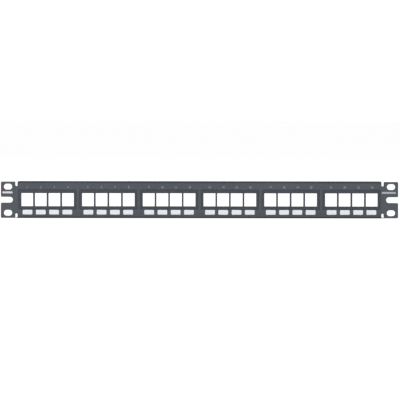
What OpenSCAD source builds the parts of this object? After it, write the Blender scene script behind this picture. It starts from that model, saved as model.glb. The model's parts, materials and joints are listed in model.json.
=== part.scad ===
// 19-inch, one-unit modular patch panel with 24 openings for snap-in jacks.
// A folded steel panel carries six four-port plastic faceplates, fitted from the rear, and stick-on labels.
// Frame: +X to the right as the user sees the front, -Y towards the user, +Z up.
// Origin: middle of the plane where the ears' rear faces meet the rack.

/* [Panel] */
// Overall width across the rack ears
panel_w = 482.6; // [482:0.1:484]
// Height of the front face
panel_h = 44.2; // [43.6:0.1:44.4]
// Depth from the front face to the rear edge of the flanges
panel_depth = 27.4; // [24:0.2:60]
// Thickness of the steel sheet
sheet_t = 1.5; // [1.2:0.1:1.6]
// Width of the folded body between the ears
body_w = 442; // [441:0.2:443]
// Outside radius of the flange bends
bend_r = 2.2; // [2:0.1:2.6]
// Corner cut at the rear ends of the flanges
flange_chamfer = 3; // [1:0.5:6]

/* [Rack ears] */
// Distance between the left and right rack slots
slot_pitch_x = 465.1; // [464.8:0.1:465.4]
// Distance between the upper and lower rack slots
slot_pitch_z = 31.75; // [31.7:0.05:31.8]
// Length of a rack slot, end to end
slot_len = 10; // [9:0.1:12]
// Height of a rack slot
slot_h = 7.1; // [6.6:0.1:7.4]
// Height of the open notch for the middle rack screw
notch_h = 7; // [6.6:0.1:8]
// Depth of the open notch
notch_depth = 14.6; // [13:0.1:16]
// Width of the relief cut between an ear and a flange
relief_w = 2.6; // [2.2:0.1:4]
// Depth of the relief cut
relief_depth = 5.5; // [4.5:0.1:7]
// Radius of the ears' outside corners
ear_corner_r = 1.5; // [0.5:0.1:2.5]

/* [Ports] */
// Width of a port opening
port_w = 14.5; // [14.1:0.1:14.9]
// Height of a port opening
port_h = 16.1; // [15.8:0.1:16.6]
// Distance between ports of one group
port_pitch = 16.5; // [16.4:0.1:16.9]
// Distance between groups of ports
group_pitch = 73.86; // [73.4:0.02:74]
// Plastic border at each side of a group, inside its steel window
border_x = 3.05; // [2.4:0.05:3.15]
// Plastic border above a group
border_top = 4.55; // [3.4:0.05:4.7]
// Plastic border below a group
border_bottom = 3.35; // [2.8:0.05:3.5]
// How far the plastic stands back from the panel's front face
border_recess = 0.3; // [0:0.05:0.6]

/* [Faceplates] */
// Clearance between a faceplate and the steel
fit_gap = 0.1; // [0.05:0.01:0.2]
// Width of a faceplate's base behind the panel
base_w = 72.2; // [71.4:0.1:73]
// Thickness of the base
base_t = 2; // [1.6:0.1:2.4]
// Depth of a jack housing from the panel's front face
housing_depth = 9.8; // [9:0.1:10.5]
// Room above a port for the jack's latch
latch_room = 4; // [3.5:0.1:4.2]
// Room below a port for the jack's hook, which the lower catch closes at the rear
hook_room = 2; // [1.5:0.1:2.5]
// How far the upper catch stands into the room for the latch
catch_reach = 1.6; // [1:0.1:1.8]
// Depth of the catches at the rear of the housing
catch_depth = 2; // [1.5:0.1:2.5]
// Thickness of the housings' outer walls
housing_wall = 1.5; // [1.2:0.1:1.7]
// Distance of a snap arm from the middle of its faceplate
arm_x = 25; // [20:1:30]
// Width of a snap arm
arm_w = 6; // [4:0.5:8]
// Thickness of a snap arm
arm_t = 1.2; // [1:0.1:1.5]

/* [Labels] */
// Width of a port label
label_w = 11.8; // [10:0.1:13]
// Height of a port label
label_h = 5.7; // [5:0.1:5.9]
// Distance between labels of one group
label_pitch = 16.1; // [15.5:0.1:16.7]
// Height of the labels' middle above the lower edge of the panel
label_rise = 7.1; // [5.2:0.05:7.2]
// Thickness of a label
label_t = 0.12; // [0.08:0.01:0.2]

/* [Hidden] */
$fn = 48;
eps = 0.01;

groups = 6;
group_ports = 4;
function two_digits(n) = n < 10 ? str("0", n) : str(n);

front_y = -sheet_t;
rear_y = panel_depth - sheet_t;
half_h = panel_h / 2;
flange_inner_z = half_h - sheet_t;
ear_w = (panel_w - body_w) / 2;
group_w = port_pitch * (group_ports - 1) + port_w;
pad_w = group_w + 2 * border_x;
pad_low_z = -port_h / 2 - border_bottom;
pad_high_z = port_h / 2 + border_top;
window_w = pad_w + 2 * fit_gap;

base_half_h = flange_inner_z - 1;
cavity_top = port_h / 2 + latch_room;
cavity_bottom = -port_h / 2 - hook_room;
cavity_front_y = 1.2;
housing_rear_y = front_y + housing_depth;
rib_t = 1.2;
rib_depth = 3;

barb_front_y = 9.2;
barb_len = 2.6;
barb_clearance = 0.05;
arm_rear_y = barb_front_y + barb_len;
snap_slot_w = arm_w + 1;
snap_slot_len = barb_len + 0.8;

port_label_r = 1;
id_label_r = 0.4;
id_label_z = 8.9;
id_label_left = [12.2, 2.4];
id_label_left_x = -233.2;
id_label_right = [17, 2.2];
id_label_right_x = 229.8;

steel_tone = [0.32, 0.34, 0.36];
plastic_tone = [0.24, 0.25, 0.27];
port_label_tone = [0.93, 0.94, 0.95];
id_label_tone = [0.72, 0.73, 0.77];

function group_x(g) = (g - (groups + 1) / 2) * group_pitch;
function in_group(i, pitch) = (i - (group_ports + 1) / 2) * pitch;

// A box between two opposite corners.
module box(low, high) {
    translate(low) cube(high - low);
}

// A flat piece from y0 to y1 whose outline is drawn as seen from the front.
module plate(y0, y1) {
    translate([0, y1, 0]) rotate([90, 0, 0]) linear_extrude(y1 - y0) children();
}

// A rectangle about the origin with round corners.
module rounded_rectangle(w, h, r) {
    square([w - 2 * r, h], center = true);
    square([w, h - 2 * r], center = true);
    for (x = [-1, 1], z = [-1, 1])
        translate([x * (w / 2 - r), z * (h / 2 - r)]) circle(r);
}

// A horizontal slot about the origin with full-round ends.
module slot_outline(length, height) {
    square([length - height, height], center = true);
    for (x = [-1, 1]) translate([x * (length - height) / 2, 0]) circle(d = height);
}

// What is cut from a convex corner at the origin to round it. The material lies towards -x, -z.
module corner_cut(r) {
    difference() {
        translate([-r, -r]) square(r + 1);
        translate([-r, -r]) circle(r);
    }
}

// Cross-section of the folded sheet: first coordinate towards the rear, second up.
module channel_profile() {
    flat_half = half_h - bend_r;
    translate([front_y, -flat_half]) square([sheet_t, 2 * flat_half]);
    for (side = [0, 1]) mirror([0, side]) {
        translate([front_y + bend_r, flat_half]) intersection() {
            difference() {
                circle(bend_r);
                circle(bend_r - sheet_t);
            }
            translate([-bend_r, 0]) square(bend_r);
        }
        translate([front_y + bend_r, flange_inner_z])
            square([rear_y - front_y - bend_r, sheet_t]);
    }
}

// Right ear, drawn from the end of the folded body outwards, with its slots, notch and relief cuts.
module ear_outline() {
    inner_x = body_w / 2;
    outer_x = panel_w / 2;
    difference() {
        translate([inner_x, -half_h]) square([ear_w, panel_h]);
        for (side = [0, 1]) mirror([0, side]) {
            translate([slot_pitch_x / 2, slot_pitch_z / 2]) slot_outline(slot_len, slot_h);
            translate([inner_x + relief_w / 2, half_h - relief_depth + relief_w / 2]) {
                circle(d = relief_w);
                translate([-relief_w / 2, 0]) square([relief_w, relief_depth]);
            }
            translate([outer_x, half_h]) corner_cut(ear_corner_r);
            translate([outer_x, notch_h / 2]) mirror([0, 1]) corner_cut(ear_corner_r);
        }
        translate([outer_x - notch_depth + notch_h / 2, 0]) {
            circle(d = notch_h);
            translate([0, -notch_h / 2]) square([notch_depth, notch_h]);
        }
    }
}

module front_panel() {
    color(steel_tone) difference() {
        union() {
            translate([-body_w / 2, 0, 0]) rotate([90, 0, 90]) linear_extrude(body_w) channel_profile();
            for (side = [0, 1]) mirror([side, 0, 0]) plate(front_y, 0) ear_outline();
        }
        for (g = [1:groups]) translate([group_x(g), 0, 0]) {
            box([-window_w / 2, front_y - 1, pad_low_z - fit_gap],
                [window_w / 2, 1, pad_high_z + fit_gap]);
            for (x = [-arm_x, arm_x], z = [-half_h, half_h])
                translate([x, barb_front_y + barb_len / 2, z])
                    cube([snap_slot_w, snap_slot_len, 4 * sheet_t], center = true);
        }
        for (side = [0, 1]) mirror([side, 0, 0])
            translate([body_w / 2, rear_y, 0]) rotate([0, 0, 45])
                cube([flange_chamfer * sqrt(2), flange_chamfer * sqrt(2), panel_h + 2], center = true);
    }
}

// The room for one jack: the opening at the front, and the wider space behind it between the two catches.
module jack_room() {
    box([-port_w / 2, front_y - 1, -port_h / 2], [port_w / 2, housing_rear_y + 1, port_h / 2]);
    box([-port_w / 2, cavity_front_y, cavity_bottom],
        [port_w / 2, housing_rear_y - catch_depth, cavity_top]);
    box([-port_w / 2, cavity_front_y, -port_h / 2],
        [port_w / 2, housing_rear_y + 1, cavity_top - catch_reach]);
}

// One snap arm above the base's middle, its barb just under the flange's snap slot.
module snap_arm() {
    arm_top = base_half_h;
    barb_top = flange_inner_z - barb_clearance;
    box([-arm_w / 2, fit_gap + base_t - eps, arm_top - arm_t], [arm_w / 2, arm_rear_y, arm_top]);
    translate([-arm_w / 2, 0, 0]) rotate([90, 0, 90]) linear_extrude(arm_w)
        polygon([
            [barb_front_y, arm_top - eps],
            [barb_front_y, barb_top],
            [barb_front_y + 0.8, barb_top],
            [arm_rear_y, arm_top - eps]
        ]);
}

// A four-port faceplate for group g.
module faceplate(g) {
    housing_w = group_w + 2 * housing_wall;
    base_rear_y = fit_gap + base_t;
    color(plastic_tone) translate([group_x(g), 0, 0]) difference() {
        union() {
            box([-pad_w / 2, front_y + border_recess, pad_low_z], [pad_w / 2, fit_gap + eps, pad_high_z]);
            box([-base_w / 2, fit_gap, -base_half_h], [base_w / 2, base_rear_y, base_half_h]);
            box([-housing_w / 2, base_rear_y - eps, cavity_bottom - housing_wall],
                [housing_w / 2, housing_rear_y, cavity_top + housing_wall]);
            for (i = [0:group_ports])
                translate([in_group(i + 0.5, port_pitch), 0, 0])
                    box([-rib_t / 2, base_rear_y - eps, -base_half_h + 2.5],
                        [rib_t / 2, base_rear_y + rib_depth, base_half_h - 2.5]);
            for (x = [-arm_x, arm_x], side = [0, 1])
                translate([x, 0, 0]) mirror([0, 0, side]) snap_arm();
        }
        for (i = [1:group_ports]) translate([in_group(i, port_pitch), 0, 0]) jack_room();
    }
}

// A stick-on label of the given size on the panel's front face.
module label(size, corner_r) {
    plate(front_y - label_t, front_y) rounded_rectangle(size[0], size[1], corner_r);
}

// The label under port number p, counted from the left.
module port_label(p) {
    g = ceil(p / group_ports);
    i = p - (g - 1) * group_ports;
    color(port_label_tone) translate([group_x(g) + in_group(i, label_pitch), 0, label_rise - half_h])
        label([label_w, label_h], port_label_r);
}

module panel_id_label_left() {
    color(id_label_tone) translate([id_label_left_x, 0, id_label_z]) label(id_label_left, id_label_r);
}

module panel_id_label_right() {
    color(id_label_tone) translate([id_label_right_x, 0, id_label_z]) label(id_label_right, id_label_r);
}

front_panel();
for (g = [1:groups])
    faceplate(g);
for (p = [1:groups * group_ports])
    port_label(p);
panel_id_label_left();
panel_id_label_right();
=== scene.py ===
import json
import math

import bmesh
import bpy
import numpy as np
from mathutils import Matrix, Vector
from mathutils.geometry import delaunay_2d_cdt


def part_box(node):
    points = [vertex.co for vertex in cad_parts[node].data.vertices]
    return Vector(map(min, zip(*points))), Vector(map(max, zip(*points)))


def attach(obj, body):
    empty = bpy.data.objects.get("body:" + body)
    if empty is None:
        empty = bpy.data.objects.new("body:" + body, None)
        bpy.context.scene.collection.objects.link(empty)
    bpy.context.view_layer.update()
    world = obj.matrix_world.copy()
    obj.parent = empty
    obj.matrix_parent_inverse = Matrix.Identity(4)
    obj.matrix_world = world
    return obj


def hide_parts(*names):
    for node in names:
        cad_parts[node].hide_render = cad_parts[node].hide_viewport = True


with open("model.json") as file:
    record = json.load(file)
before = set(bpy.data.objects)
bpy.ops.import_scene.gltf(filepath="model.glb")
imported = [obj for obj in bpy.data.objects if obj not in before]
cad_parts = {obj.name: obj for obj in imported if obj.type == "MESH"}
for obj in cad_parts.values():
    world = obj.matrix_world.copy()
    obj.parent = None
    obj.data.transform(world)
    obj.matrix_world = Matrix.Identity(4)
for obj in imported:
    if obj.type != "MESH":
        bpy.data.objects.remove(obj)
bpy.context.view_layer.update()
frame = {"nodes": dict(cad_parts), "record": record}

# The looks of a 19-inch rack patch panel: a folded steel sheet, six four-port faceplates and its labels.
# +X is to the right as the user sees the front, -Y towards the user, +Z up.
# The rack plane, y = 0, is the rear face of the sheet's front.
# Sizes are in millimetres. A mesh is scaled to metres when it is finished.
MM = 0.001

# Points closer together than this are one point
TOLERANCE = 1e-3
# The tolerance of cuts, of fills and of the font's outlines
FINE = 1e-5


def box_mm(node):
    """Lowest and highest corner of a CAD node, in millimetres."""
    low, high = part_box(node)
    return low / MM, high / MM


# ---------------------------------------------------------------- sizes of the sheet

PANEL_LOW, PANEL_HIGH = box_mm("front_panel")
FRONT_Y = PANEL_LOW.y
SHEET_T = -FRONT_Y
HALF_W = PANEL_HIGH.x
HALF_H = PANEL_HIGH.z
BODY_HALF_W = 221.0
BEND_R = 2.2
BEND_STEPS = 8
SHEET_ARC_STEPS = 8
FLANGE_CHAMFER = 3.0
FLANGE_CORNER_R = 1.2

RACK_SLOTS = next(m["dims"] for m in frame["record"]["mounts"] if m["name"] == "rack_slots")
NOTCH_H = 7.0
NOTCH_DEPTH = 14.6
RELIEF_W = 2.6
RELIEF_DEPTH = 5.5
EAR_CORNER_R = 1.5
EAR_INNER_R = 0.9

# A slot's end is a hair less than full-round, so that its outline keeps two straight sides
FULL_ROUND = 0.999

WINDOW_W = 70.3
WINDOW_LOW_Z = -11.5
WINDOW_HIGH_Z = 12.7
WINDOW_R = 0.5
SNAP_SLOT_X = 25.0
SNAP_SLOT_Y = (8.8, 12.2)
SNAP_SLOT_W = 7.0
SNAP_SLOT_R = 0.5

# Rounded edge of the coated sheet, and the band beside it where the coat rubs thin
EDGE_R = 0.3
EDGE_STEPS = 3
RIM_BAND = 0.5

# The bend's middle fibre keeps its length, so the flat sheet is this long either side of its middle
BEND_MID_R = BEND_R - SHEET_T / 2
BEND_LEN = BEND_MID_R * math.pi / 2
FLAT_FRONT_HALF = HALF_H - BEND_R
FLAT_HALF = FLAT_FRONT_HALF + BEND_LEN + PANEL_HIGH.y - FRONT_Y - BEND_R

# ---------------------------------------------------------------- sizes of the faceplates

FACEPLATES = sorted(n for n in frame["nodes"] if n.startswith("faceplate_"))
PORT_LABELS = sorted(n for n in frame["nodes"] if n.startswith("port_label_"))
ID_LABELS = ["panel_id_label_left", "panel_id_label_right"]

GROUP_PORTS = 4
# The ports' places in a group, in pitches from its middle
PORTS_IN_GROUP = [k - (GROUP_PORTS - 1) / 2 for k in range(GROUP_PORTS)]
PORT_W = 14.5
PORT_H = 16.1
PORT_PITCH = 16.5
GROUP_W = PORT_PITCH * (GROUP_PORTS - 1) + PORT_W
FIT_GAP = 0.1
PAD_FRONT_Y = FRONT_Y + 0.3
BASE_REAR_Y = FIT_GAP + 2.0
HOUSING_REAR_Y = FRONT_Y + 9.8
HOUSING_WALL = 1.5
CAVITY_FRONT_Y = 1.2
CAVITY_TOP = PORT_H / 2 + 4.0
CAVITY_BOTTOM = -PORT_H / 2 - 2.0
UPPER_CATCH = CAVITY_TOP - 1.6
CATCH_DEPTH = 2.0
CATCH_RAMP = 0.9
RIB_T = 1.2
RIB_DEPTH = 3.0
RIB_END = 2.5
ARM_T = 1.2
ARM_W = 6.0
BASE_HALF_H = HALF_H - SHEET_T - 1.0
BARB_TOP = box_mm(FACEPLATES[0])[1].z
BARB_FRONT_Y = 9.2
BARB_FLAT = 0.8
GUSSET_T = 1.2
GUSSET_H = 1.3
GUSSET_DEPTH = 2.4
PLASTIC_EDGE_R = 0.22
MOUTH_CHAMFER = 0.4
LEDGE_Y = PAD_FRONT_Y + MOUTH_CHAMFER
# How far the cuts through a faceplate start outside it
BEYOND = 1.0
# Room around a range of heights, so that it includes its own ends
SLACK = 0.01
# Corners above the first angle are rounded, edges below the second shade smoothly, and faces that meet
# below the third are one face
ROUND_ABOVE = math.radians(50)
SMOOTH_BELOW = math.radians(10)
FLAT_BELOW = math.radians(1)

# ---------------------------------------------------------------- sizes of the labels and print

PORT_LABEL_R = 1.0
ID_LABEL_R = 0.4
LABEL_ARC_STEPS = 6
LABEL_EDGE_R = 0.04
# A label's painted edge shade fades out this far in from its edge
LABEL_RIM = 0.25
# How light the identification strips are, left and right
STRIP_LIGHT = (0.62, 0.4)
NUMBER_H = 2.8
NUMBER_SQUEEZE = 0.85
NUMBER_Z = 15.55
NUMBER_CURVE_STEPS = 4
INK_T = 0.03


# ---------------------------------------------------------------- outlines and plates

def rounded_outline(corners, steps):
    """A closed outline through corners (x, z, radius), each rounded by its radius."""
    points = []
    for k, (x, z, radius) in enumerate(corners):
        corner = Vector((x, z))
        to_last = (Vector(corners[k - 1][:2]) - corner).normalized()
        to_next = (Vector(corners[(k + 1) % len(corners)][:2]) - corner).normalized()
        half = to_last.angle(to_next) / 2
        centre = corner + (to_last + to_next).normalized() * (radius / math.sin(half))
        spoke = corner + to_last * (radius / math.tan(half)) - centre
        turn = math.copysign(math.pi - 2 * half, to_next.x * to_last.y - to_next.y * to_last.x)
        for j in range(steps + 1):
            point = centre + Matrix.Rotation(turn * j / steps, 2) @ spoke
            if not points or (point - points[-1]).length > TOLERANCE:
                points.append(point)
    if (points[0] - points[-1]).length < TOLERANCE:
        points.pop()
    return points


def rectangle(centre_x, centre_z, width, height, radius):
    """Corners of a rectangle, anticlockwise."""
    x, z = width / 2, height / 2
    return [(centre_x + i * x, centre_z + j * z, radius) for i, j in ((-1, -1), (1, -1), (1, 1), (-1, 1))]


def signed_area(loop):
    return sum(a.x * b.y - b.x * a.y for a, b in zip(loop, loop[1:] + loop[:1])) / 2


def inset(loop, distance):
    """The loop moved to its left by distance, which is into the material."""
    moved = []
    for k, point in enumerate(loop):
        before = (point - loop[k - 1]).normalized()
        after = (loop[(k + 1) % len(loop)] - point).normalized()
        left_before = Vector((-before.y, before.x))
        left_after = Vector((-after.y, after.x))
        mitre = (left_before + left_after).normalized()
        moved.append(point + mitre * (distance / mitre.dot(left_after)))
    return moved


def inside(point, loops):
    """Whether a point is in the material: within the outline and in no hole."""
    crossings = 0
    for loop in loops:
        for a, b in zip(loop, loop[1:] + loop[:1]):
            if (a.y > point.y) != (b.y > point.y):
                crossings += point.x < a.x + (point.y - a.y) / (b.y - a.y) * (b.x - a.x)
    return crossings % 2 == 1


def plate(outline, holes, thickness, edge_r, rim_band):
    """A bmesh plate with rounded edges, lying in x and z with its depth in y from 0 at the front.
    The vertex value "rim" is 1 on the edges and fades to 0 at rim_band from them.
    A corner that sticks out needs a radius above edge_r + rim_band."""
    loops = [outline] + holes
    for k, loop in enumerate(loops):
        if (signed_area(loop) > 0) != (k == 0):
            loop.reverse()
    profile = [(edge_r + rim_band, 0, 0)]
    for step in range(EDGE_STEPS + 1):
        angle = math.pi / 2 * step / EDGE_STEPS
        profile.append((edge_r * (1 - math.sin(angle)), edge_r * (1 - math.cos(angle)), 1))
    for step in range(EDGE_STEPS + 1):
        angle = math.pi / 2 * step / EDGE_STEPS
        profile.append((edge_r * (1 - math.cos(angle)), thickness - edge_r * (1 - math.sin(angle)), 1))
    profile.append((edge_r + rim_band, thickness, 0))

    mesh = bmesh.new()
    rim = mesh.verts.layers.float.new("rim")
    rings = []
    for distance, depth, value in profile:
        ring = []
        for loop in loops:
            verts = [mesh.verts.new((p.x, depth, p.y)) for p in inset(loop, distance)]
            for vert in verts:
                vert[rim] = value
            ring.append(verts)
        rings.append(ring)
    for ring, following in zip(rings, rings[1:]):
        for here, there in zip(ring, following):
            for k in range(len(here)):
                mesh.faces.new((here[k - 1], here[k], there[k], there[k - 1]))
    for ring in (rings[0], rings[-1]):
        fill(mesh, ring)
    bmesh.ops.recalc_face_normals(mesh, faces=mesh.faces[:])
    return mesh


def fill(mesh, ring):
    """Fills the flat face between an outline's vertices and those of its holes."""
    verts = [vert for loop in ring for vert in loop]
    flat = [Vector((v.co.x, v.co.z)) for v in verts]
    edges, loops, start = [], [], 0
    for loop in ring:
        count = len(loop)
        edges += [(start + k, start + (k + 1) % count) for k in range(count)]
        loops.append(flat[start:start + count])
        start += count
    within_outline = 1
    corners, _, faces, sources, *_ = delaunay_2d_cdt(flat, edges, [], within_outline, FINE)
    for face in faces:
        middle = sum((corners[k] for k in face), Vector((0, 0))) / len(face)
        if inside(middle, loops):
            mesh.faces.new([verts[sources[k][0]] for k in face])


def finish_piece(mesh, name, body, material, replaces=()):
    """Turns a bmesh in millimetres into an object in metres that rides on a body."""
    data = bpy.data.meshes.new(name)
    mesh.transform(Matrix.Scale(MM, 4))
    mesh.to_mesh(data)
    mesh.free()
    data.shade_smooth()
    data.materials.append(material)
    piece = bpy.data.objects.new(name, data)
    bpy.context.scene.collection.objects.link(piece)
    normals = piece.modifiers.new("flat faces stay flat", "WEIGHTED_NORMAL")
    normals.mode = "FACE_AREA"
    normals.weight = 50
    normals.keep_sharp = True
    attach(piece, body)
    if replaces:
        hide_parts(*replaces)
    return piece


# ---------------------------------------------------------------- materials

# The sockets that a Mix node uses for colours
MIX_A, MIX_B, MIX_RESULT = 6, 7, 2
# How much painted shade darkens a film along its cut edge
FILM_EDGE_SHADE = 0.35


class Shader:
    """A material, with short calls for the nodes that feed its Principled BSDF."""

    def __init__(self, name):
        self.material = bpy.data.materials.new(name)
        self.material.use_nodes = True
        self.tree = self.material.node_tree
        self.surface = self.tree.nodes["Principled BSDF"]
        self.place = self.node("ShaderNodeTexCoord").outputs["Object"]

    def node(self, kind, inputs=(), **settings):
        node = self.tree.nodes.new(kind)
        for key, value in settings.items():
            setattr(node, key, value)
        for key, value in dict(inputs).items():
            self.put(node.inputs[key], value)
        return node

    def put(self, socket, value):
        if isinstance(value, bpy.types.NodeSocket):
            self.tree.links.new(value, socket)
        else:
            socket.default_value = value

    def noise(self, size, detail=2.0, roughness=0.5, stretch=(1, 1, 1)):
        """Noise from 0 to 1 whose lumps are about size millimetres across."""
        place = self.node("ShaderNodeMapping", {"Vector": self.place, "Scale": stretch}).outputs[0]
        inputs = {"Vector": place, "Scale": 1 / (size * MM), "Detail": detail, "Roughness": roughness}
        return self.node("ShaderNodeTexNoise", inputs).outputs["Fac"]

    def between(self, value, low, high, from_low=0.3, from_high=0.7):
        """Takes from_low..from_high smoothly to low..high."""
        inputs = {"Value": value, "From Min": from_low, "From Max": from_high, "To Min": low, "To Max": high}
        return self.node("ShaderNodeMapRange", inputs, interpolation_type="SMOOTHSTEP").outputs["Result"]

    def maths(self, operation, *values):
        return self.node("ShaderNodeMath", dict(enumerate(values)), operation=operation).outputs[0]

    def blend(self, share, a, b):
        node = self.node("ShaderNodeMix", {0: share, MIX_A: a, MIX_B: b}, data_type="RGBA")
        return node.outputs[MIX_RESULT]

    def at_rim(self, share):
        """The share on a plate's edges, which fades to 0 beside them."""
        rim = self.node("ShaderNodeAttribute", attribute_name="rim").outputs["Fac"]
        return self.maths("MULTIPLY", rim, share)

    def finish(self, base, roughness, *layers):
        """Sets the colour, the roughness and the bumps."""
        self.put(self.surface.inputs["Base Color"], base)
        self.put(self.surface.inputs["Roughness"], roughness)
        self.relief(*layers)
        return self.material

    def relief(self, *layers):
        """Bumps from (height, depth in millimetres) pairs, one upon another."""
        normal = None
        for height, depth in layers:
            inputs = {"Height": height, "Distance": depth * MM, "Strength": 1.0}
            if normal is not None:
                inputs["Normal"] = normal
            normal = self.node("ShaderNodeBump", inputs).outputs["Normal"]
        self.put(self.surface.inputs["Normal"], normal)


def colour(red, green, blue):
    return (red, green, blue, 1.0)


def powder_coat():
    """Charcoal powder coat: a fine, slightly wavy skin, thinner and paler along the cut edges."""
    shader = Shader("powder_coat")
    cloud = shader.noise(60, detail=3)
    peel = shader.noise(1.6, detail=2)
    grain = shader.noise(0.45, detail=3, roughness=0.6)
    rub = shader.noise(4, detail=4, roughness=0.65)
    speck = shader.between(grain, 0, 0.35, from_low=0.5, from_high=0.75)
    wear = shader.at_rim(shader.between(rub, 0.04, 0.4, from_low=0.42, from_high=0.68))
    tones = colour(0.053, 0.065, 0.079), colour(0.063, 0.075, 0.089)
    base = shader.blend(shader.between(cloud, 0, 1), *tones)
    base = shader.blend(speck, base, colour(0.105, 0.118, 0.130))
    base = shader.blend(wear, base, colour(0.19, 0.195, 0.20))
    gloss = shader.maths("ADD", shader.between(grain, 0.56, 0.68), shader.between(cloud, -0.02, 0.02))
    shader.surface.inputs["Specular IOR Level"].default_value = 0.42
    return shader.finish(base, gloss, (peel, 0.012), (grain, 0.010))


def faceplate_plastic():
    """Moulded charcoal ABS with a fine spark-eroded texture."""
    shader = Shader("faceplate_plastic")
    grain = shader.noise(0.3, detail=2)
    flow = shader.noise(9, detail=3, stretch=(1, 1, 2.5))
    speck = shader.between(grain, 0, 0.5, from_low=0.55, from_high=0.8)
    tones = colour(0.029, 0.037, 0.049), colour(0.037, 0.045, 0.057)
    base = shader.blend(shader.between(flow, 0, 1), *tones)
    base = shader.blend(speck, base, colour(0.070, 0.078, 0.090))
    shader.surface.inputs["Specular IOR Level"].default_value = 0.45
    return shader.finish(base, shader.between(grain, 0.44, 0.58), (grain, 0.008))


def label_film():
    """White write-on film: faintly mottled, with painted shade that darkens it along its cut edge."""
    shader = Shader("label_film")
    mottle = shader.noise(2.2, detail=4, roughness=0.6)
    tooth = shader.noise(0.18, detail=2)
    tones = colour(0.745, 0.785, 0.835), colour(0.79, 0.83, 0.875)
    base = shader.blend(shader.between(mottle, 0, 1), *tones)
    # Painted shade: a grey band along the film's cut edge
    base = shader.blend(shader.at_rim(FILM_EDGE_SHADE), base, colour(0.45, 0.47, 0.50))
    return shader.finish(base, shader.between(tooth, 0.38, 0.52), (tooth, 0.003))


def strip_film(name, light):
    """Grey identification film, a little blue and faintly streaked along its length."""
    shader = Shader(name)
    streak = shader.noise(1.4, detail=4, roughness=0.6, stretch=(0.3, 1, 1))
    tooth = shader.noise(0.2, detail=2)
    tones = [colour(k * light, k * light, 1.07 * k * light) for k in (0.93, 1.05)]
    base = shader.blend(shader.between(streak, 0, 1), *tones)
    # Painted shade: a darker band along the strip's cut edge
    base = shader.blend(shader.at_rim(FILM_EDGE_SHADE), base, colour(0.25, 0.26, 0.29))
    return shader.finish(base, shader.between(tooth, 0.42, 0.56), (tooth, 0.003))


def print_ink():
    """Pale screen-printed ink, a little thin in places."""
    shader = Shader("print_ink")
    thin = shader.noise(0.5, detail=3)
    tones = colour(0.26, 0.29, 0.33), colour(0.42, 0.46, 0.50)
    base = shader.blend(shader.between(thin, 0, 1), *tones)
    return shader.finish(base, shader.between(thin, 0.45, 0.6), (thin, 0.004))


# ---------------------------------------------------------------- the folded sheet

def height_on_flange(y):
    """Where a point of the flange at depth y lies on the flat sheet."""
    return FLAT_FRONT_HALF + BEND_LEN + y - FRONT_Y - BEND_R


def sheet_outline():
    """The flat sheet: the right half's corners from the lower flange up, and their mirror."""
    ear_x = BODY_HALF_W + RELIEF_W
    relief_z = HALF_H - RELIEF_DEPTH
    notch_x = HALF_W - NOTCH_DEPTH
    upper = [
        (notch_x, NOTCH_H / 2, NOTCH_H / 2 * FULL_ROUND),
        (HALF_W, NOTCH_H / 2, EAR_CORNER_R),
        (HALF_W, HALF_H, EAR_CORNER_R),
        (ear_x, HALF_H, EAR_INNER_R),
        (ear_x, relief_z, RELIEF_W / 2 * FULL_ROUND),
        (BODY_HALF_W, relief_z, RELIEF_W / 2 * FULL_ROUND),
        (BODY_HALF_W, FLAT_HALF - FLANGE_CHAMFER, FLANGE_CORNER_R),
        (BODY_HALF_W - FLANGE_CHAMFER, FLAT_HALF, FLANGE_CORNER_R),
    ]
    right = [(x, -z, r) for x, z, r in reversed(upper)] + upper
    return right + [(-x, z, r) for x, z, r in reversed(right)]


def sheet_holes(group_xs):
    holes = []
    slot_h = 2 * RACK_SLOTS["hole_r_mm"]
    for side in (-1, 1):
        for level in (-1, 1):
            x, z = side * RACK_SLOTS["spacing_x_mm"] / 2, level * RACK_SLOTS["spacing_y_mm"] / 2
            holes.append(rectangle(x, z, RACK_SLOTS["slot_length_mm"], slot_h, slot_h / 2 * FULL_ROUND))
    snap_low, snap_high = (height_on_flange(y) for y in SNAP_SLOT_Y)
    for group_x in group_xs:
        middle_z = (WINDOW_LOW_Z + WINDOW_HIGH_Z) / 2
        holes.append(rectangle(group_x, middle_z, WINDOW_W, WINDOW_HIGH_Z - WINDOW_LOW_Z, WINDOW_R))
        for side in (-1, 1):
            for level in (-1, 1):
                middle = level * (snap_low + snap_high) / 2
                x = group_x + side * SNAP_SLOT_X
                holes.append(rectangle(x, middle, SNAP_SLOT_W, snap_high - snap_low, SNAP_SLOT_R))
    return holes


def fold(point):
    """Takes a point of the flat sheet to its place in the folded panel."""
    x, depth, height = point
    over = abs(height) - FLAT_FRONT_HALF
    if over <= 0 or abs(x) > BODY_HALF_W + RELIEF_W / 2:
        return Vector((x, FRONT_Y + depth, height))
    angle = min(over / BEND_MID_R, math.pi / 2)
    radius = BEND_R - depth
    y = FRONT_Y + BEND_R - radius * math.cos(angle) + max(over - BEND_LEN, 0)
    z = FLAT_FRONT_HALF + radius * math.sin(angle)
    return Vector((x, y, math.copysign(z, height)))


def make_sheet(group_xs, material):
    outline = rounded_outline(sheet_outline(), SHEET_ARC_STEPS)
    holes = [rounded_outline(corners, SHEET_ARC_STEPS) for corners in sheet_holes(group_xs)]
    mesh = plate(outline, holes, SHEET_T, EDGE_R, RIM_BAND)
    for side in (-1, 1):
        for step in range(BEND_STEPS + 1):
            height = side * (FLAT_FRONT_HALF + BEND_LEN * step / BEND_STEPS)
            geometry = mesh.verts[:] + mesh.edges[:] + mesh.faces[:]
            place = (0, 0, height)
            bmesh.ops.bisect_plane(mesh, geom=geometry, dist=FINE, plane_co=place, plane_no=(0, 0, 1))
    for vert in mesh.verts:
        vert.co = fold(vert.co)
    return finish_piece(mesh, "panel_sheet", "panel", material, ["front_panel"])


# ---------------------------------------------------------------- the faceplates

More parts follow.
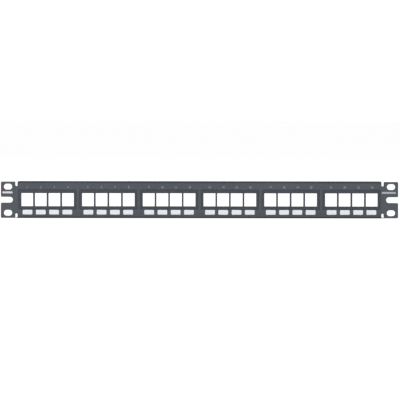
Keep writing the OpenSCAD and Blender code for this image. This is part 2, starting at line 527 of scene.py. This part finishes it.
def carve(steps):
    """A closed bmesh made of boxes in turn: (True, low, high) adds one, (False, low, high) cuts one out."""
    steps = [(keep, np.round(low, 4), np.round(high, 4)) for keep, low, high in steps]
    ticks = [sorted({float(p[axis]) for _, *ends in steps for p in ends}) for axis in range(3)]
    filled = np.zeros([len(t) + 1 for t in ticks], bool)
    for keep, low, high in steps:
        span = tuple(slice(t.index(a) + 1, t.index(b) + 1) for t, a, b in zip(ticks, low, high))
        filled[span] = keep

    mesh = bmesh.new()
    made = {}

    def vertex(place):
        if place not in made:
            made[place] = mesh.verts.new([ticks[a][place[a]] for a in range(3)])
        return made[place]

    for axis in range(3):
        across, along = [a for a in range(3) if a != axis]
        skin = np.diff(filled.astype(np.int8), axis=axis)
        for cell in np.argwhere(skin):
            quad = []
            for i, j in ((-1, -1), (0, -1), (0, 0), (-1, 0)):
                place = [0, 0, 0]
                place[axis] = int(cell[axis])
                place[across] = int(cell[across]) + i
                place[along] = int(cell[along]) + j
                quad.append(vertex(tuple(place)))
            mesh.faces.new(quad)
    bmesh.ops.recalc_face_normals(mesh, faces=mesh.faces[:])
    return mesh


def near(a, b):
    return abs(a - b) < TOLERANCE


def snap_arm_steps(x, half_h, rear_y):
    """The boxes of the upper snap arm at x: the arm, the barb's flat and slope, and the root's gusset."""
    barb_y = BARB_FRONT_Y + BARB_FLAT
    low_x, high_x = x - ARM_W / 2, x + ARM_W / 2
    return [
        ((low_x, BASE_REAR_Y, half_h - ARM_T), (high_x, rear_y, half_h)),
        ((low_x, BARB_FRONT_Y, half_h), (high_x, barb_y, BARB_TOP)),
        ((low_x, barb_y, half_h), (high_x, rear_y, BARB_TOP)),
        ((x - GUSSET_T / 2, BASE_REAR_Y, half_h - ARM_T - GUSSET_H),
         (x + GUSSET_T / 2, BASE_REAR_Y + GUSSET_DEPTH, half_h - ARM_T)),
    ]


def faceplate_steps(half_w, half_h, rear_y):
    """The boxes of one faceplate about its own middle: solid ones first, then the ports' cuts."""
    pad = WINDOW_W / 2 - FIT_GAP
    pad_low_z, pad_high_z = WINDOW_LOW_Z + FIT_GAP, WINDOW_HIGH_Z - FIT_GAP
    housing = GROUP_W / 2 + HOUSING_WALL
    housing_low_z, housing_high_z = CAVITY_BOTTOM - HOUSING_WALL, CAVITY_TOP + HOUSING_WALL
    steps = [
        (True, (-pad, PAD_FRONT_Y, pad_low_z), (pad, FIT_GAP, pad_high_z)),
        (True, (-half_w, FIT_GAP, -half_h), (half_w, BASE_REAR_Y, half_h)),
        (True, (-housing, BASE_REAR_Y, housing_low_z), (housing, HOUSING_REAR_Y, housing_high_z)),
    ]
    rib_end = half_h - RIB_END
    for k in range(GROUP_PORTS + 1):
        x = (k - GROUP_PORTS / 2) * PORT_PITCH
        low_x, high_x = max(x - RIB_T / 2, -housing), min(x + RIB_T / 2, housing)
        steps.append((True, (low_x, BASE_REAR_Y, -rib_end), (high_x, BASE_REAR_Y + RIB_DEPTH, rib_end)))
    for side in (-1, 1):
        for low, high in snap_arm_steps(side * SNAP_SLOT_X, half_h, rear_y):
            steps.append((True, low, high))
            steps.append((True, (low[0], low[1], -high[2]), (high[0], high[1], -low[2])))
    catch_y = HOUSING_REAR_Y - CATCH_DEPTH
    ramp_y = HOUSING_REAR_Y - CATCH_RAMP
    front, rear = PAD_FRONT_Y - BEYOND, HOUSING_REAR_Y + BEYOND
    mouth_z = PORT_H / 2 + MOUTH_CHAMFER
    for place in PORTS_IN_GROUP:
        left, right = place * PORT_PITCH - PORT_W / 2, place * PORT_PITCH + PORT_W / 2
        steps += [
            (False, (left, front, -PORT_H / 2), (right, rear, PORT_H / 2)),
            (False, (left - MOUTH_CHAMFER, front, -mouth_z), (right + MOUTH_CHAMFER, LEDGE_Y, mouth_z)),
            (False, (left, CAVITY_FRONT_Y, CAVITY_BOTTOM), (right, catch_y, CAVITY_TOP)),
            (False, (left, CAVITY_FRONT_Y, PORT_H / 2), (right, ramp_y, UPPER_CATCH)),
            (False, (left, ramp_y, PORT_H / 2), (right, rear, UPPER_CATCH)),
        ]
    return steps


def beyond_port(x, z):
    """How far a point is outside the nearest port's outline."""
    above = abs(z) - PORT_H / 2
    return min(max(abs(x - place * PORT_PITCH) - PORT_W / 2, above) for place in PORTS_IN_GROUP)


def in_housing(vert):
    """Whether a vertex belongs to the ports and their cavities, where the walls stay sharp."""
    beside = abs(vert.co.x) > GROUP_W / 2 + SLACK
    return not beside and CAVITY_BOTTOM - SLACK < vert.co.z < CAVITY_TOP + SLACK


def shape_faceplate(half_w, half_h, rear_y):
    """The mesh of one faceplate about its own middle."""
    mesh = carve(faceplate_steps(half_w, half_h, rear_y))
    for vert in mesh.verts:
        co = vert.co
        beyond = beyond_port(co.x, co.z)
        # The ports' mouths widen to the front
        if near(co.y, LEDGE_Y) and 0 < beyond < MOUTH_CHAMFER + SLACK:
            co.y -= beyond
        # The barbs slope down to the arms' ends
        elif near(co.y, rear_y) and near(abs(co.z), BARB_TOP):
            co.z = math.copysign(half_h, co.z)
        # The gussets run out along the arms
        elif near(co.y, BASE_REAR_Y + GUSSET_DEPTH) and near(abs(co.z), half_h - ARM_T - GUSSET_H):
            co.z = math.copysign(half_h - ARM_T, co.z)
        # The catches open towards the rear, where the jacks come in
        elif near(co.y, HOUSING_REAR_Y) and -SLACK < co.z - UPPER_CATCH < CATCH_RAMP:
            co.z = UPPER_CATCH + CATCH_RAMP
        elif near(co.y, HOUSING_REAR_Y) and -SLACK < -co.z - PORT_H / 2 < CATCH_RAMP:
            co.z = -PORT_H / 2 - CATCH_RAMP
    bmesh.ops.remove_doubles(mesh, verts=mesh.verts[:], dist=TOLERANCE)
    bmesh.ops.dissolve_limit(mesh, angle_limit=FLAT_BELOW, verts=mesh.verts[:], edges=mesh.edges[:])
    bmesh.ops.recalc_face_normals(mesh, faces=mesh.faces[:])
    rounded = []
    for edge in mesh.edges:
        angle = edge.calc_face_angle()
        if edge.is_convex and angle > ROUND_ABOVE and not all(map(in_housing, edge.verts)):
            rounded.append(edge)
        else:
            edge.smooth = angle < SMOOTH_BELOW
    round_arc = 0.5
    bmesh.ops.bevel(
        mesh, geom=rounded, offset=PLASTIC_EDGE_R, segments=2, profile=round_arc, affect="EDGES",
        clamp_overlap=True,
    )
    return mesh


def make_faceplates(material):
    for number, node in enumerate(FACEPLATES, 1):
        low, high = box_mm(node)
        middle_x = (low.x + high.x) / 2
        mesh = shape_faceplate((high.x - low.x) / 2, BASE_HALF_H, high.y)
        mesh.transform(Matrix.Translation((middle_x, 0, 0)))
        finish_piece(mesh, f"faceplate_moulding_{number}", node, material, [node])


# ---------------------------------------------------------------- labels and print

def make_label(node, corner_r, material):
    low, high = box_mm(node)
    middle = (low + high) / 2
    corners = rectangle(middle.x, middle.z, high.x - low.x, high.z - low.z, corner_r)
    outline = rounded_outline(corners, LABEL_ARC_STEPS)
    mesh = plate(outline, [], high.y - low.y, LABEL_EDGE_R, LABEL_RIM)
    mesh.transform(Matrix.Translation((0, low.y, 0)))
    return finish_piece(mesh, node + "_film", "panel", material, [node])


def number_mesh(text):
    """A number as a thin closed mesh, centred, standing in x and z and one unit high.
    Its thickness is of no account, because make_numbers sets it."""
    curve = bpy.data.curves.new("number", "FONT")
    curve.body = text
    curve.align_x = "CENTER"
    curve.resolution_u = NUMBER_CURVE_STEPS
    curve.extrude = 0.01
    holder = bpy.data.objects.new("number", curve)
    mesh = bmesh.new()
    mesh.from_mesh(holder.to_mesh())
    bpy.data.objects.remove(holder)
    bpy.data.curves.remove(curve)
    bmesh.ops.remove_doubles(mesh, verts=mesh.verts[:], dist=FINE)
    heights = [v.co.y for v in mesh.verts]
    low, high = min(heights), max(heights)
    mesh.transform(Matrix.Scale(1 / (high - low), 4) @ Matrix.Translation((0, -(low + high) / 2, 0)))
    mesh.transform(Matrix.Rotation(math.pi / 2, 4, "X"))
    return mesh


def make_numbers(port_xs, material):
    """The port numbers, printed over the ports."""
    everything = bmesh.new()
    for number, port_x in enumerate(port_xs, 1):
        mesh = number_mesh(str(number))
        thickness = max(v.co.y for v in mesh.verts) * 2
        mesh.transform(Matrix.Diagonal((NUMBER_H * NUMBER_SQUEEZE, INK_T / thickness, NUMBER_H, 1)))
        mesh.transform(Matrix.Translation((port_x, FRONT_Y - INK_T / 2, NUMBER_Z)))
        data = bpy.data.meshes.new("number")
        mesh.to_mesh(data)
        mesh.free()
        everything.from_mesh(data)
        bpy.data.meshes.remove(data)
    finish_piece(everything, "port_numbers", "panel", material)


# ---------------------------------------------------------------- studio

VIEW_ELEVATION = 1.7
VIEW_ROLL = 0.07
VIEW_WIDTH = 485.75
VIEW_TARGET = Vector((0.62, FRONT_Y, -0.06))
LENS = 300
SENSOR = 36
# The nearest and farthest that the camera sees, in metres
CLIP = (0.1, 100)

# The softboxes, in metres and watts: (name, place, size, power)
LIGHTS = (
    ("key", (-1.5, -2.2, 0.5), (1.4, 1.0), 27),
    ("fill", (1.6, -1.9, 0.3), (1.0, 0.8), 14),
    ("rear_left", (-2.1, 1.5, 1.1), (1.2, 1.0), 40),
    ("rear_right", (2.1, 1.7, 0.8), (1.2, 1.0), 30),
)

# The room's brightness by direction: (axis, start, end, brightness before the start and past the end)
WORLD_FADES = (("Z", 0.03, 0.36, 1.06, 0.12), ("Y", -0.3, 0.2, 0.5, 1.0))
# The floor reaches this far from the middle, in metres
FLOOR_REACH = 20
FLOOR_TONE = colour(0.3, 0.3, 0.3)
WHITE = colour(1, 1, 1)
# The floor's glow, and how far from the body, in millimetres, it begins and is full; the dimmer floor before
# it begins is a painted contact shadow
FLOOR_GLOW = 0.95
FLOOR_SHADE = (0.5, 5.0)


def aim(thing, place, target):
    thing.location = place
    thing.rotation_euler = (target - place).to_track_quat("-Z", "Y").to_euler()


def make_camera():
    """A long lens, a little above the panel's middle, that frames the panel from edge to edge."""
    data = bpy.data.cameras.new("camera")
    data.lens = LENS
    data.sensor_width = SENSOR
    camera = bpy.data.objects.new("camera", data)
    bpy.context.scene.collection.objects.link(camera)
    distance = VIEW_WIDTH * LENS / SENSOR
    up = math.radians(VIEW_ELEVATION)
    place = VIEW_TARGET + distance * Vector((0, -math.cos(up), math.sin(up)))
    aim(camera, place * MM, VIEW_TARGET * MM)
    camera.rotation_euler.rotate_axis("Z", math.radians(VIEW_ROLL))
    data.clip_start, data.clip_end = CLIP
    bpy.context.scene.camera = camera


def make_light(name, place, size, power):
    """A softbox that faces the panel."""
    data = bpy.data.lights.new(name, "AREA")
    data.shape = "RECTANGLE"
    data.size, data.size_y = size
    data.energy = power
    light = bpy.data.objects.new(name, data)
    bpy.context.scene.collection.objects.link(light)
    aim(light, Vector(place), Vector((0, 0, 0)))


def make_world():
    """A white room, dimmer overhead, which darkens edges turned upwards, and on the camera's side."""
    world = bpy.data.worlds.new("studio")
    bpy.context.scene.world = world
    world.use_nodes = True
    tree = world.node_tree
    direction = tree.nodes.new("ShaderNodeTexCoord").outputs["Generated"]
    split = tree.nodes.new("ShaderNodeSeparateXYZ")
    tree.links.new(direction, split.inputs[0])
    product = tree.nodes.new("ShaderNodeMath")
    product.operation = "MULTIPLY"
    for k, (axis, start, end, at_start, at_end) in enumerate(WORLD_FADES):
        fade = tree.nodes.new("ShaderNodeMapRange")
        fade.interpolation_type = "SMOOTHSTEP"
        settings = {"From Min": start, "From Max": end, "To Min": at_start, "To Max": at_end}
        for key, value in settings.items():
            fade.inputs[key].default_value = value
        tree.links.new(split.outputs[axis], fade.inputs["Value"])
        tree.links.new(fade.outputs["Result"], product.inputs[k])
    tree.nodes["Background"].inputs["Color"].default_value = WHITE
    tree.links.new(product.outputs[0], tree.nodes["Background"].inputs["Strength"])


def make_floor():
    """A plain white floor that glows, as in a bright studio; its glow fades out around the panel's body, a
    painted contact shadow.
    """
    mesh = bmesh.new()
    bmesh.ops.create_grid(mesh, x_segments=8, y_segments=8, size=FLOOR_REACH)
    data = bpy.data.meshes.new("floor")
    mesh.to_mesh(data)
    mesh.free()
    floor = bpy.data.objects.new("floor", data)
    floor.location.z = PANEL_LOW.z * MM
    bpy.context.scene.collection.objects.link(floor)
    shader = Shader("floor_white")
    split = shader.node("ShaderNodeSeparateXYZ", {0: shader.place})
    # The glow is held back near the panel's body: a painted contact shadow on the floor
    glow_past_painted_shadow = 0.0
    for axis, low, high in (("X", -BODY_HALF_W, BODY_HALF_W), ("Y", PANEL_LOW.y, PANEL_HIGH.y)):
        middle, half = (low + high) / 2 * MM, (high - low) / 2
        away = shader.maths("ABSOLUTE", shader.maths("SUBTRACT", split.outputs[axis], middle))
        begins, full = ((half + shade) * MM for shade in FLOOR_SHADE)
        glow_past_painted_shadow = shader.maths("MAXIMUM", glow_past_painted_shadow, shader.between(away, 0, 1, begins, full))
    shader.surface.inputs["Base Color"].default_value = FLOOR_TONE
    shader.surface.inputs["Roughness"].default_value = 0.9
    shader.surface.inputs["Specular IOR Level"].default_value = 0.0
    shader.surface.inputs["Emission Color"].default_value = WHITE
    shader.put(shader.surface.inputs["Emission Strength"], shader.maths("MULTIPLY", glow_past_painted_shadow, FLOOR_GLOW))
    data.materials.append(shader.material)


# ---------------------------------------------------------------- the whole

group_middles = [sum(c.x for c in box_mm(node)) / 2 for node in FACEPLATES]
make_sheet(group_middles, powder_coat())
make_faceplates(faceplate_plastic())
film = label_film()
for label in PORT_LABELS:
    make_label(label, PORT_LABEL_R, film)
for label, light in zip(ID_LABELS, STRIP_LIGHT):
    make_label(label, ID_LABEL_R, strip_film(label, light))
port_xs = [x + in_group * PORT_PITCH for x in group_middles for in_group in PORTS_IN_GROUP]
make_numbers(port_xs, print_ink())

make_camera()
make_world()
for light in LIGHTS:
    make_light(*light)
make_floor()
bpy.context.scene.view_settings.view_transform = "Standard"
